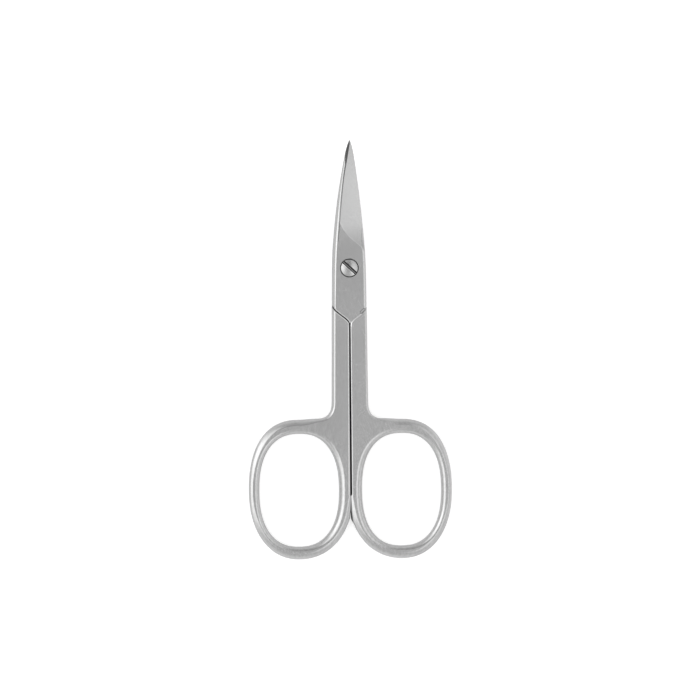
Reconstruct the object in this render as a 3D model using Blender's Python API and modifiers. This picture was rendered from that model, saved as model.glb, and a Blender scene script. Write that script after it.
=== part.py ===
"""Nail scissors, 9 cm long: two forged halves that cross at a slotted screw, each with its own finger ring.

Run with blender --background --python part.py, or from Blender's text editor. The scissors lie flat and
closed, blades towards +Y and curving up, with the middle of their length over the origin.
"""

import math

import bmesh
import bpy
import numpy as np

MM = 0.001

# Plan of one half. x runs sideways from the middle line, y from the screw towards the tip.
TIP_REACH = 27.35 * MM
RING_BACK = 47.8 * MM
HOLE_HALF_WIDTH = 8.6 * MM
HOLE_HALF_LENGTH = 12.15 * MM
HOLE_SQUARENESS = 2.37
RING_INNER_WALL = 2.5 * MM
RING_OUTER_WALL = 2.2 * MM
RING_FRONT_WALL = 3.05 * MM
RING_END_WALL = 2.7 * MM
RING_FRONT_SQUARENESS = 2.35
RING_END_SQUARENESS = 2.2
SHANK_FRONT_WIDTH = 3.7 * MM
SHANK_BACK_WIDTH = 3.87 * MM
SHOULDER_AT_MIDDLE = 12.6 * MM
SHOULDER_AT_SIDE = 8.5 * MM

# The ring's front rises a little towards the shank and meets it in a tight corner with long, soft ends.
CORNER_WIDTH = 3.4 * MM
CORNER_LENGTH = 3.9 * MM
CORNER_SQUARENESS = 2.7
CORNER_RISE = 0.2 * MM

# The stop is where each ring is fuller, so that it meets the other and ends the closing stroke.
STOP_LOBE = 0.68 * MM
STOP_LOBE_ANGLE = math.radians(215)
STOP_LOBE_SPREAD = math.radians(50)
STOP_START = 0.9 * MM
STOP_RAMP = 0.5 * MM

# The shoulder's run, as shares of the way across the shank and of the way forward.
SHOULDER_RUN = [(0, 0), (0.014, 0.146), (0.09, 0.267), (0.265, 0.413), (0.56, 0.607), (0.873, 0.833), (1, 1)]

# Along the blade, as shares of its reach: its half width and the rounding of its back. Both are shares of the
# half width of the box, the flat part round the screw.
BLADE_WIDTHS = [
    (-0.475, 1.0),
    (-0.18, 0.99),
    (0.09, 0.952),
    (0.344, 0.825),
    (0.53, 0.661),
    (0.72, 0.457),
    (0.848, 0.301),
    (0.929, 0.183),
    (0.973, 0.1),
    (1.0, 0.024),
]
BACK_ROUNDS = [
    (-0.475, 0.175),
    (0.09, 0.23),
    (0.36, 0.24),
    (0.54, 0.188),
    (0.72, 0.134),
    (0.92, 0.09),
    (1.0, 0.015),
]

# Heights. The shank thins towards the ring and both of its faces stay flat.
SHOULDER_HEIGHT = 3.2 * MM
RING_HEIGHT = 2.7 * MM
EDGE_THICKNESS = 0.1 * MM
INNER_HOLLOW = 0.12 * MM

# The box is ground a little lower and narrower than the shank.
GROUND_STEP = 0.15 * MM
SIDE_STEP = 0.035 * MM

# The blades bend up evenly with distance from the screw, so they keep their gap at every opening angle.
CURVE_START = 5.0 * MM
CURVE_RADIUS = 60.0 * MM

# The outer face slopes from the blade's back to its edge. The wheel that grinds it runs out near the screw.
GRIND_SLOPE = 0.256
GRIND_RUNOUT = 10.7 * MM
WHEEL_RADIUS = 20.0 * MM

# Roundings. Those of the ring and its hole change along the way.
PARTING_ROUND = 0.2 * MM
SHANK_ROUND = 0.7 * MM
RING_SIDE_ROUND = 0.85 * MM
RING_END_ROUND = 1.15 * MM
HOLE_OUTER_ROUND = 0.6 * MM
HOLE_INNER_ROUND = 1.1 * MM
EDGE_ROUND = 0.4 * MM
PARTING_BLEND = 1.2 * MM
RING_BLEND = 5.0 * MM
ROUND_STEPS = 5

# Screw
HEAD_RADIUS = 1.9 * MM
HEAD_HEIGHT = 0.68 * MM
HEAD_DOME = 0.28 * MM
SHAFT_RADIUS = 1.18 * MM
SCREW_CHAMFER = 0.12 * MM
SLOT_WIDTH = 0.8 * MM
SLOT_DEPTH = 0.5 * MM
SLOT_ANGLE = math.radians(-42.5)
ROUND_SIDES = 48

# Fits
PARTING_GAP = 0.22 * MM
PARTING_GAP_BACK = 0.4 * MM
STOP_GAP = 0.06 * MM
LAP_GAP = 0.1 * MM
HEEL_GAP = 0.2 * MM
HEAD_CLEARANCE = 0.13 * MM
RUNNING_CLEARANCE = 0.05 * MM
THREAD_CLEARANCE = 0.02 * MM
SEAT_CLEARANCE = 0.03 * MM

# Worked out
MIDDLE_HEIGHT = SHOULDER_HEIGHT / 2
LAP_THICKNESS = MIDDLE_HEIGHT - LAP_GAP / 2 - GROUND_STEP
SEAT_HEIGHT = SHOULDER_HEIGHT - GROUND_STEP - HEAD_HEIGHT
BOX_HALF_WIDTH = SHANK_FRONT_WIDTH - SIDE_STEP
SHOULDER_SPAN = SHANK_FRONT_WIDTH - PARTING_GAP / 2
SHOULDER_RISE = SHOULDER_AT_MIDDLE - SHOULDER_AT_SIDE
RING_OUT = HOLE_HALF_WIDTH + RING_INNER_WALL
RING_TOP = HOLE_HALF_LENGTH + RING_FRONT_WALL - RING_BACK
TAIL_REACH = RING_BACK + HOLE_HALF_LENGTH + RING_END_WALL
SCREW_Y = (TAIL_REACH - TIP_REACH) / 2
THINNEST_WALL = min(RING_OUTER_WALL, RING_INNER_WALL, RING_END_WALL, RING_HEIGHT)
ROUND_SHARE = min(1, 0.8 * THINNEST_WALL / (RING_SIDE_ROUND + HOLE_OUTER_ROUND))

# How far stock and cutters reach past the cut that trims them
OVERRUN = 1.0 * MM

STEEL_COLOUR = (0.6, 0.6, 0.59, 1.0)
SCREW_COLOUR = (0.64, 0.64, 0.63, 1.0)


def steel(name, colour, roughness):
    material = bpy.data.materials.new(name)
    material.use_nodes = True
    shader = material.node_tree.nodes["Principled BSDF"]
    shader.inputs["Base Color"].default_value = colour
    shader.inputs["Metallic"].default_value = 1.0
    shader.inputs["Roughness"].default_value = roughness
    return material


def collection(name):
    group = bpy.data.collections.new(name)
    bpy.context.scene.collection.children.link(group)
    return group


def add_object(name, mesh, group, parent=None):
    item = bpy.data.objects.new(name, mesh)
    group.objects.link(item)
    item.parent = parent
    return item


def add_cutter(name, mesh, parent):
    cutter = add_object(name, mesh, cutters, parent)
    cutter.display_type = "WIRE"
    return cutter


def boolean(target, other, operation):
    modifier = target.modifiers.new(f"{operation.lower()} {other.name}", "BOOLEAN")
    modifier.operation = operation
    modifier.object = other
    modifier.solver = "EXACT"


def mesh_from(name, bm):
    bmesh.ops.recalc_face_normals(bm, faces=bm.faces)
    mesh = bpy.data.meshes.new(name)
    bm.to_mesh(mesh)
    bm.free()
    return mesh


def smoothstep(value):
    value = np.clip(value, 0.0, 1.0)
    return value * value * (3 - 2 * value)


def smooth_through(points, x):
    """The height at x of the cubic curve through the points, with slopes taken from each one's neighbours."""
    xs, ys = np.array(points, float).T
    slopes = np.gradient(ys, xs)
    i = int(np.clip(np.searchsorted(xs, x) - 1, 0, len(xs) - 2))
    step = xs[i + 1] - xs[i]
    t = np.clip((x - xs[i]) / step, 0, 1)
    start = ys[i] * (1 + 2 * t) * (1 - t) ** 2 + slopes[i] * step * t * (1 - t) ** 2
    return start + ys[i + 1] * t * t * (3 - 2 * t) - slopes[i + 1] * step * t * t * (1 - t)


def quarter_turn():
    return np.linspace(0, math.pi / 2, ROUND_STEPS + 1)


def reach(angle, half_width, half_length, squareness):
    """Distance from the middle of a rounded oval to its outline, at this angle."""
    across = abs(math.cos(angle)) / half_width
    along = abs(math.sin(angle)) / half_length
    return (across**squareness + along**squareness) ** (-1 / squareness)


def ring_point(angle, distance):
    return RING_OUT + distance * math.cos(angle), distance * math.sin(angle) - RING_BACK


def hole_outline(steps=72):
    """The finger hole, clockwise, so that the metal lies to its left."""
    size = HOLE_HALF_WIDTH, HOLE_HALF_LENGTH, HOLE_SQUARENESS
    angles = np.linspace(2 * math.pi, 0, steps, endpoint=False)
    return np.array([ring_point(angle, reach(angle, *size)) for angle in angles])


def ring_outer_point(angle):
    front = math.sin(angle) > 0
    wall = RING_FRONT_WALL if front else RING_END_WALL
    squareness = RING_FRONT_SQUARENESS if front else RING_END_SQUARENESS
    size = HOLE_HALF_WIDTH + RING_OUTER_WALL, HOLE_HALF_LENGTH + wall, squareness
    off_lobe = min(abs(angle - STOP_LOBE_ANGLE) / STOP_LOBE_SPREAD, 1)
    lobe = STOP_LOBE * math.cos(off_lobe * math.pi / 2) ** 2
    x, y = ring_point(angle, reach(angle, *size) + lobe)
    return max(x, STOP_GAP / 2), y


def handle_outline(steps=62, corner_steps=10):
    """Shank and ring of the right-hand handle, anticlockwise from the top of the parting line."""
    top = OVERRUN - SHOULDER_AT_SIDE
    stop = -RING_BACK - STOP_START
    points = [(PARTING_GAP / 2, top), (PARTING_GAP_BACK / 2, stop), (STOP_GAP / 2, stop - STOP_RAMP)]
    points += [ring_outer_point(angle) for angle in np.radians(np.linspace(202, 450, steps))]
    corner_x = SHANK_BACK_WIDTH + CORNER_WIDTH
    for share in np.linspace(0, 1, 5)[1:-1]:
        points.append((RING_OUT + (corner_x - RING_OUT) * share, RING_TOP + CORNER_RISE * smoothstep(share)))
    corner_y = RING_TOP + CORNER_RISE + CORNER_LENGTH
    for angle in np.radians(np.linspace(270, 180, corner_steps)):
        distance = reach(angle, CORNER_WIDTH, CORNER_LENGTH, CORNER_SQUARENESS)
        points.append((corner_x + distance * math.cos(angle), corner_y + distance * math.sin(angle)))
    points.append((SHANK_FRONT_WIDTH, top))
    return np.array(points)


def handle_rounding(outline):
    """Crisp along the parting line, round on the shank and rounder still where the ring is wide."""
    x, y = outline.T
    towards_end = smoothstep(abs(y + RING_BACK) / HOLE_HALF_LENGTH)
    ring = ROUND_SHARE * (RING_SIDE_ROUND + (RING_END_ROUND - RING_SIDE_ROUND) * towards_end)
    towards_ring = smoothstep((RING_TOP + RING_BLEND - y) / RING_BLEND)
    outside = SHANK_ROUND + (ring - SHANK_ROUND) * towards_ring
    return PARTING_ROUND + (outside - PARTING_ROUND) * smoothstep((x - STOP_GAP) / PARTING_BLEND)


def hole_rounding(outline):
    """Rounder on the side of the middle line, where there is more metal."""
    towards_middle = smoothstep((RING_OUT - outline[:, 0]) / HOLE_HALF_WIDTH)
    return ROUND_SHARE * (HOLE_OUTER_ROUND + (HOLE_INNER_ROUND - HOLE_OUTER_ROUND) * towards_middle)


def inset(outline, distance):
    """The outline moved to its left, by one distance or by one for each point."""
    along = np.roll(outline, -1, axis=0) - outline
    along /= np.linalg.norm(along, axis=1)[:, None]
    left = np.stack([-along[:, 1], along[:, 0]], axis=1)
    before = np.roll(left, 1, axis=0)
    mitre = (left + before) / (1 + (left * before).sum(axis=1))[:, None]
    return outline + mitre * np.broadcast_to(distance, len(outline))[:, None]


def skin(bm, loops):
    """Joins rings of points in order with faces. Returns the rings of vertices."""
    rings = [[bm.verts.new(point) for point in loop] for loop in loops]
    for lower, upper in zip(rings, rings[1:]):
        for i in range(len(lower)):
            bm.faces.new((lower[i - 1], lower[i], upper[i], upper[i - 1]))
    return rings


def wall_levels(rounding):
    """The steps of a wall of the shoulder's height whose two edges are round, as (inset, height)."""
    low = [(rounding * (1 - math.sin(a)), rounding * (1 - math.cos(a))) for a in quarter_turn()]
    return low + [(inward, SHOULDER_HEIGHT - height) for inward, height in reversed(low)]


def handle_thinning(y):
    share = (y + SHOULDER_AT_SIDE) / (SHOULDER_AT_SIDE - TAIL_REACH)
    return 1 - (1 - RING_HEIGHT / SHOULDER_HEIGHT) * share


def handle_mesh(side):
    """Shank and ring as stacked outlines, because the rounding of their edges changes along the way.

    side is 1 for the half on the right, and -1 turns it over for the half on the left.
    """
    bm = bmesh.new()
    ends = []
    outer, hole = handle_outline(), hole_outline()
    for outline, rounding in ((outer, handle_rounding(outer)), (hole, hole_rounding(hole))):
        loops = []
        for inward, height in wall_levels(rounding):
            x, y = inset(outline, inward).T
            z = MIDDLE_HEIGHT + side * (np.broadcast_to(height, len(x)) - MIDDLE_HEIGHT)
            loops.append(np.column_stack([side * x, y, z * handle_thinning(y)]))
        rings = skin(bm, loops)
        ends.append((rings[0], rings[-1]))
    for face_rings in zip(*ends):
        edges = [bm.edges.get((ring[i - 1], ring[i])) for ring in face_rings for i in range(len(ring))]
        bmesh.ops.triangle_fill(bm, use_beauty=True, edges=edges)
    return mesh_from("handle", bm)


def curve_rise(x, y):
    """How far the blade's bend lifts this point. It depends on the distance from the screw alone."""
    beyond = np.maximum(np.hypot(x, y) - CURVE_START, 0) * (y > 0)
    return beyond**2 / (2 * CURVE_RADIUS)


def blade_section(y):
    """Points (x, height above the inner face) round one section of the blade whose back is at -x."""
    share = y / TIP_REACH
    half_width = BOX_HALF_WIDTH * smooth_through(BLADE_WIDTHS, share)
    back_round = BOX_HALF_WIDTH * smooth_through(BACK_ROUNDS, share)
    runout = max(GRIND_RUNOUT - y, 0) ** 2 / (2 * WHEEL_RADIUS)
    edge = min(EDGE_THICKNESS + runout, LAP_THICKNESS)
    edge_round = min(EDGE_ROUND, edge / 2, half_width / 2)

    def ground(x):
        return min(EDGE_THICKNESS + runout + GRIND_SLOPE * (half_width - x), LAP_THICKNESS)

    back = back_round - half_width
    front = half_width - edge_round
    margin = 0.02 * half_width
    plunge = half_width - (LAP_THICKNESS - EDGE_THICKNESS - runout) / GRIND_SLOPE
    plunge = np.clip(plunge, back + margin, front - margin)
    top = ground(back)
    low = 0.3 * top
    rising = [(back - back_round * math.cos(a), low + (top - low) * math.sin(a)) for a in quarter_turn()]
    across = [(x, ground(x)) for x in np.linspace(plunge, front, 4)]
    falling = []
    for angle in quarter_turn()[1:]:
        falling.append((front + edge_round * math.sin(angle), edge - edge_round * (1 - math.cos(angle))))
    hollow = INNER_HOLLOW * smoothstep((y - CURVE_START) / CURVE_START) * half_width / BOX_HALF_WIDTH
    inside = [(half_width * part, hollow * (1 - part * part)) for part in (1, 0.5, 0, -0.5, -1)]
    return np.array(rising + across + falling + inside)


def blade_mesh(side):
    """A loft from under the shank to the tip. side is 1 for the front half, and -1 turns it over."""
    box = np.linspace(-SHOULDER_AT_MIDDLE - HEEL_GAP, 0.07 * TIP_REACH, 6)
    blade = np.linspace(0.13, 0.79, 13) * TIP_REACH
    point = np.array([0.84, 0.89, 0.935, 0.97, 0.99, 1]) * TIP_REACH
    loops = []
    for y in np.concatenate([box, blade, point]):
        x, height = blade_section(y).T
        z = MIDDLE_HEIGHT + side * (LAP_GAP / 2 + height) + curve_rise(x, y)
        loops.append(np.column_stack([side * x, np.full(len(x), y), z]))
    bm = bmesh.new()
    rings = skin(bm, loops)
    bm.faces.new(rings[0])
    bm.faces.new(rings[-1])
    return mesh_from("blade", bm)


def prism(name, outline, parent):
    """A cutter with this flat outline, reaching past both faces of the scissors."""
    curve = bpy.data.curves.new(name, "CURVE")
    curve.dimensions = "2D"
    curve.fill_mode = "BOTH"
    curve.extrude = MIDDLE_HEIGHT + OVERRUN
    spline = curve.splines.new("POLY")
    spline.points.add(len(outline) - 1)
    for point, (x, y) in zip(spline.points, outline):
        point.co = (x, y, 0, 1)
    spline.use_cyclic_u = True
    drawn = add_object(name, curve, cutters)
    mesh = bpy.data.meshes.new_from_object(drawn.evaluated_get(bpy.context.evaluated_depsgraph_get()))
    bpy.data.objects.remove(drawn)
    bm = bmesh.new()
    bm.from_mesh(mesh)
    bmesh.ops.remove_doubles(bm, verts=bm.verts, dist=0.001 * MM)
    cutter = add_cutter(name, mesh_from(name, bm), parent)
    cutter.location.z = MIDDLE_HEIGHT
    return cutter


def drill(name, radius, low, target):
    """Cuts a round hole round the screw's axis, from a height up past the top."""
    depth = SHOULDER_HEIGHT + OVERRUN - low
    bm = bmesh.new()
    bmesh.ops.create_cone(
        bm, cap_ends=True, segments=ROUND_SIDES, radius1=radius, radius2=radius, depth=depth
    )
    cutter = add_cutter(name, mesh_from(name, bm), target)
    cutter.location.z = low + depth / 2
    boolean(target, cutter, "DIFFERENCE")


def shoulder_line(side):
    """The front end of a full-height shank, from the parting line out past the side."""
    across, forward = np.array(SHOULDER_RUN).T
    x = side * (PARTING_GAP / 2 + SHOULDER_SPAN * across)
    y = SHOULDER_RISE * forward - SHOULDER_AT_MIDDLE
    line = np.column_stack([x, y])
    past_side = line[-1] + 6 * (line[-1] - line[-2])
    return np.vstack([line, past_side])


def half(name, side, material):
    """One half of the scissors, its origin under the screw: a handle joined to a blade of half its height."""
    whole = add_object(name, handle_mesh(side), parts)
    whole.data.materials.append(material)
    shoulder = shoulder_line(side)
    beyond_middle = -side * OVERRUN
    ahead = [(shoulder[-1][0], OVERRUN), (beyond_middle, OVERRUN), (beyond_middle, shoulder[0][1])]
    boolean(whole, prism(f"{name} shoulder", [*shoulder, *ahead], whole), "DIFFERENCE")

    blade = add_cutter(f"{name} blade", blade_mesh(side), whole)
    square_to_heel = np.array([side * SHOULDER_RISE, SHOULDER_SPAN])
    heel = shoulder_line(-side)[1:] + HEEL_GAP * square_to_heel / np.linalg.norm(square_to_heel)
    under_shank = side * (PARTING_GAP + PARTING_ROUND)
    behind = -SHOULDER_AT_MIDDLE - OVERRUN
    around = [(heel[-1][0], behind), (under_shank, behind), (under_shank, heel[0][1])]
    boolean(blade, prism(f"{name} heel", [*heel, *around], blade), "DIFFERENCE")
    boolean(whole, blade, "UNION")
    return whole


def screw(name, material):
    """Turned, with a domed head in its seat and a shaft that ends flush with the rear half's outer face."""
    rim = SEAT_HEIGHT + HEAD_HEIGHT
    dome_radius = (HEAD_RADIUS**2 + HEAD_DOME**2) / (2 * HEAD_DOME)
    profile = [
        (0, GROUND_STEP),
        (SHAFT_RADIUS - SCREW_CHAMFER, GROUND_STEP),
        (SHAFT_RADIUS, GROUND_STEP + SCREW_CHAMFER),
        (SHAFT_RADIUS, SEAT_HEIGHT),
        (HEAD_RADIUS, SEAT_HEIGHT),
        (HEAD_RADIUS, rim - SCREW_CHAMFER),
    ]
    for x in np.linspace(HEAD_RADIUS - SCREW_CHAMFER, 0, 6):
        profile.append((x, rim + HEAD_DOME - dome_radius + math.sqrt(dome_radius**2 - x * x)))
    mesh = bpy.data.meshes.new(name)
    mesh.from_pydata([(x, 0, z) for x, z in profile], [(i, i + 1) for i in range(len(profile) - 1)], [])
    turned = add_object(name, mesh, parts)
    turned.data.materials.append(material)
    turn = turned.modifiers.new("turn", "SCREW")
    turn.steps = turn.render_steps = ROUND_SIDES
    turn.use_merge_vertices = True
    turn.merge_threshold = 0.001 * MM

    bm = bmesh.new()
    bmesh.ops.create_cube(bm, size=1)
    size = (4 * HEAD_RADIUS, SLOT_WIDTH, 2 * (SLOT_DEPTH + HEAD_DOME))
    bmesh.ops.scale(bm, verts=bm.verts, vec=size)
    slot = add_cutter(f"{name} slot", mesh_from("slot", bm), turned)
    slot.location.z = rim + HEAD_DOME
    slot.rotation_euler.z = SLOT_ANGLE
    boolean(turned, slot, "DIFFERENCE")
    return turned


for leftover in list(bpy.data.objects):
    bpy.data.objects.remove(leftover)
parts = collection("nail_scissors")
cutters = collection("cutters")
cutters.hide_render = True

rear_half = half("rear_half", -1, steel("satin_steel_rear", STEEL_COLOUR, 0.32))
rear_half.location.y = SCREW_Y
drill("rear_half tapped hole", SHAFT_RADIUS + THREAD_CLEARANCE, -OVERRUN, rear_half)

# The front half turns about this axis, counted from closed.
pivot_axis = add_object("pivot_axis", None, parts, rear_half)
front_half = half("front_half", 1, steel("satin_steel_front", STEEL_COLOUR, 0.32))
front_half.parent = pivot_axis
drill("front_half hole", SHAFT_RADIUS + RUNNING_CLEARANCE, -OVERRUN, front_half)
drill("front_half screw seat", HEAD_RADIUS + HEAD_CLEARANCE, SEAT_HEIGHT - SEAT_CLEARANCE, front_half)

pivot_screw = screw("pivot_screw", steel("screw_steel", SCREW_COLOUR, 0.25))
pivot_screw.parent = rear_half
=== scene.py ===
# %% [markdown]
# # A pair of nail scissors in satin steel
# Nail scissors are two forged halves and one screw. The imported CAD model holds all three, and each one is
# made again here with finer roundings, crisp ground edges and a finish. Nothing is moved: the CAD model is
# a fixed frame that says where the pieces are and how the scissors open.

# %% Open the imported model
import math

import bmesh
import bpy
import numpy as np
from mathutils import Matrix, Vector


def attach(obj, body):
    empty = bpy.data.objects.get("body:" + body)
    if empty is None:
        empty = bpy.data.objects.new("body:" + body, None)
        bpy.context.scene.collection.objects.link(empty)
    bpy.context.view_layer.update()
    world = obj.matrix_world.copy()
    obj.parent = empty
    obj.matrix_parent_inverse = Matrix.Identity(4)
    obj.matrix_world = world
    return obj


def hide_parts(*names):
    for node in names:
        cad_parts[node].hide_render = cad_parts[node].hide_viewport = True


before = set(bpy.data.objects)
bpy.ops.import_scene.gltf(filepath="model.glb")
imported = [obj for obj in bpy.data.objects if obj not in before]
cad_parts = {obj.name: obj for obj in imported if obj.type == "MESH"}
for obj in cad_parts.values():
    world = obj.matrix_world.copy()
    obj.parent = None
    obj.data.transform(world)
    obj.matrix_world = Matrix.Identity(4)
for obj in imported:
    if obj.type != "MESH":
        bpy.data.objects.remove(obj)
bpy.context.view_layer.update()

MM = 0.001

# %% [markdown]
# ## The plan of one half
# Seen from above, a half is a straight shank that runs into an oval finger ring. It could be drawn by hand
# as a Bezier curve. Named sizes are chosen here because each one can be measured on the real object, and
# because the CAD model uses the same ones. All are in metres, with the screw as the origin.

# %% Sizes of the handle
RING_BACK = 47.8 * MM
HOLE_HALF_WIDTH = 8.6 * MM
HOLE_HALF_LENGTH = 12.15 * MM
HOLE_SQUARENESS = 2.37
RING_INNER_WALL = 2.5 * MM
RING_OUTER_WALL = 2.2 * MM
RING_FRONT_WALL = 3.05 * MM
RING_END_WALL = 2.7 * MM
RING_FRONT_SQUARENESS = 2.35
RING_END_SQUARENESS = 2.2
SHANK_FRONT_WIDTH = 3.7 * MM
SHANK_BACK_WIDTH = 3.87 * MM
CORNER_WIDTH = 3.4 * MM
CORNER_LENGTH = 3.9 * MM
CORNER_SQUARENESS = 2.7
CORNER_RISE = 0.2 * MM
SHOULDER_AT_MIDDLE = 12.6 * MM
SHOULDER_AT_SIDE = 8.5 * MM
PARTING_GAP = 0.33 * MM
PARTING_GAP_BACK = 0.55 * MM
STOP_GAP = 0.06 * MM
STOP_START = 0.9 * MM
STOP_RAMP = 0.5 * MM
OVERRUN = 1.0 * MM

TIP_REACH = 27.35 * MM
TAIL_REACH = RING_BACK + HOLE_HALF_LENGTH + RING_END_WALL
SCREW_Y = (TAIL_REACH - TIP_REACH) / 2
RING_OUT = HOLE_HALF_WIDTH + RING_INNER_WALL
RING_TOP = HOLE_HALF_LENGTH + RING_FRONT_WALL - RING_BACK
print(f"length {(TAIL_REACH + TIP_REACH) / MM:.1f} mm, screw at y = {SCREW_Y / MM:.2f} mm")

# %% [markdown]
# ## The two ovals of a finger ring
# The hole and the outside of the ring are ovals that are fuller in their corners than an ellipse. Such an
# oval is a superellipse: one formula with a squareness of 2 for an ellipse and more for a fuller shape. The
# outside has a lobe where the two rings touch, which stops the closing handles.

# %% Ring outlines
STOP_LOBE = 0.68 * MM
STOP_LOBE_ANGLE = math.radians(215)
STOP_LOBE_SPREAD = math.radians(50)


def reach(angle, half_width, half_length, squareness):
    """Distance from a superellipse's middle to its edge in this direction."""
    across = abs(math.cos(angle)) / half_width
    along = abs(math.sin(angle)) / half_length
    return (across**squareness + along**squareness) ** (-1 / squareness)


def ring_point(angle, distance):
    return RING_OUT + distance * math.cos(angle), distance * math.sin(angle) - RING_BACK


def hole_outline(steps=220):
    size = HOLE_HALF_WIDTH, HOLE_HALF_LENGTH, HOLE_SQUARENESS
    angles = np.linspace(2 * math.pi, 0, steps, endpoint=False)
    return np.array([ring_point(angle, reach(angle, *size)) for angle in angles])


def ring_outer_point(angle):
    front = math.sin(angle) > 0
    wall = RING_FRONT_WALL if front else RING_END_WALL
    squareness = RING_FRONT_SQUARENESS if front else RING_END_SQUARENESS
    size = HOLE_HALF_WIDTH + RING_OUTER_WALL, HOLE_HALF_LENGTH + wall, squareness
    off_lobe = min(abs(angle - STOP_LOBE_ANGLE) / STOP_LOBE_SPREAD, 1)
    lobe = STOP_LOBE * math.cos(off_lobe * math.pi / 2) ** 2
    x, y = ring_point(angle, reach(angle, *size) + lobe)
    return max(x, STOP_GAP / 2), y


print("finger hole in mm:", np.round(np.ptp(hole_outline(), axis=0) / MM, 1))

# %% [markdown]
# ## One line round the handle
# A handle's outline runs down the parting line, round the ring, through the inner corner and up the shank's
# side. Four curves could be joined afterwards, but one list of points can be drawn in by any distance,
# which the roundings need.

# %% Outline of a handle
RING_FROM, RING_TO = 202, 450  # degrees round the ring
PARTING_POINTS = 24
FRONT_POINTS = 12
SIDE_POINTS = 16


def smoothstep(value):
    value = np.clip(value, 0.0, 1.0)
    return value * value * (3 - 2 * value)


def handle_outline(steps=200, corner_steps=30):
    top = OVERRUN - SHOULDER_AT_SIDE
    stop = -RING_BACK - STOP_START
    parting = np.linspace((PARTING_GAP / 2, top), (PARTING_GAP_BACK / 2, stop), PARTING_POINTS)
    points = [(STOP_GAP / 2, stop - STOP_RAMP)]
    points += [ring_outer_point(angle) for angle in np.radians(np.linspace(RING_FROM, RING_TO, steps))]
    corner_x = SHANK_BACK_WIDTH + CORNER_WIDTH
    for share in np.linspace(0, 1, FRONT_POINTS)[1:-1]:
        points.append((RING_OUT + (corner_x - RING_OUT) * share, RING_TOP + CORNER_RISE * smoothstep(share)))
    corner_y = RING_TOP + CORNER_RISE + CORNER_LENGTH
    for angle in np.radians(np.linspace(270, 180, corner_steps)):
        distance = reach(angle, CORNER_WIDTH, CORNER_LENGTH, CORNER_SQUARENESS)
        points.append((corner_x + distance * math.cos(angle), corner_y + distance * math.sin(angle)))
    side = np.linspace(points[-1], (SHANK_FRONT_WIDTH, top), SIDE_POINTS)[1:]
    return np.vstack([parting, points, side])


print(len(handle_outline()), "points round a handle")

# %% [markdown]
# ## From outline to forging
# A forged handle has no sharp rim: its edges are round, rounder on the ring than along the parting line
# where the two halves meet. A Bevel modifier would give one radius all round. Here every point of the
# outline has a rounding of its own, with the numbers taken from the width of the bright bands along the
# real edges.

# %% Roundings
SHOULDER_HEIGHT = 3.2 * MM
RING_HEIGHT = 2.7 * MM
MIDDLE_HEIGHT = SHOULDER_HEIGHT / 2
PARTING_ROUND = 0.23 * MM
SHANK_ROUND_BELOW = 0.7 * MM
SHANK_ROUND_ABOVE = 0.45 * MM
RING_SIDE_ROUND = 0.75 * MM
RING_END_ROUND = 1.25 * MM
HOLE_OUTER_ROUND = 1.0 * MM
HOLE_INNER_ROUND = 1.4 * MM
PARTING_BLEND = 1.2 * MM
PARTING_FLATNESS = 0.18
RING_FLATNESS = 0.6
RING_FACET = 1.45
RING_BLEND = 5.0 * MM
FLAT_MARGIN = 0.12 * MM
RING_MARGIN = 0.3


def handle_rounding(outline, shank_round):
    """For each point: how far the rounding goes inward and upward, how flat it is, and a flat margin."""
    x, y = outline.T
    towards_end = smoothstep(abs(y + RING_BACK) / HOLE_HALF_LENGTH)
    ring = RING_SIDE_ROUND + (RING_END_ROUND - RING_SIDE_ROUND) * towards_end
    past_corner = smoothstep((x - SHANK_BACK_WIDTH - CORNER_WIDTH / 2) / RING_BLEND)
    towards_ring = np.maximum(past_corner, smoothstep((RING_TOP - y) / RING_BLEND))
    outside = shank_round + (ring - shank_round) * towards_ring
    past_stop = smoothstep((-RING_BACK - STOP_START - y) / PARTING_BLEND)
    off_parting = np.maximum(smoothstep((x - STOP_GAP) / PARTING_BLEND), past_stop)
    inward = PARTING_ROUND + (outside - PARTING_ROUND) * off_parting
    flatness = 1 + (RING_FLATNESS - 1) * towards_ring
    flatness = PARTING_FLATNESS + (flatness - PARTING_FLATNESS) * off_parting
    facet = 1 + (RING_FACET - 1) * np.maximum(towards_ring, 1 - off_parting)
    return inward, inward * flatness, facet, FLAT_MARGIN * (1 - (1 - RING_MARGIN) * towards_ring)


def hole_rounding(outline, shank_round):
    towards_middle = smoothstep((RING_OUT - outline[:, 0]) / HOLE_HALF_WIDTH)
    inward = HOLE_OUTER_ROUND + (HOLE_INNER_ROUND - HOLE_OUTER_ROUND) * towards_middle
    return inward, inward, np.ones(len(outline)), RING_MARGIN * FLAT_MARGIN


widest = handle_rounding(handle_outline(), SHANK_ROUND_ABOVE)[0].max()
print(f"the widest rounding is {widest / MM:.2f} mm")

# %% [markdown]
# ## Layers like contour lines
# A rounded wall is a stack of outlines, each drawn in a little further than the one below it, like the
# contour lines of a hill. The walls at the parting line lean in towards their foot, as forged walls do, so
# that no daylight shows between the closed shanks. The handle also gets thinner towards the rings.

# %% Layers of a handle
ROUND_STEPS = 12
PARTING_FOOT = 0.55 * STOP_GAP


def quarter_turn():
    return np.linspace(0, math.pi / 2, ROUND_STEPS + 1)


def inset(outline, distance):
    """The outline drawn in by one distance, or by one for each point."""
    along = np.roll(outline, -1, axis=0) - outline
    along /= np.linalg.norm(along, axis=1)[:, None]
    left = np.stack([-along[:, 1], along[:, 0]], axis=1)
    before = np.roll(left, 1, axis=0)
    mitre = (left + before) / (1 + (left * before).sum(axis=1))[:, None]
    return outline + mitre * np.broadcast_to(distance, len(outline))[:, None]


def edge_levels(inward, upward, facet, margin):
    yield inward + margin, 0 * upward
    for a in quarter_turn():
        yield inward * (1 - math.sin(a) ** facet), upward * (1 - max(math.cos(a), 0) ** facet)


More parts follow.
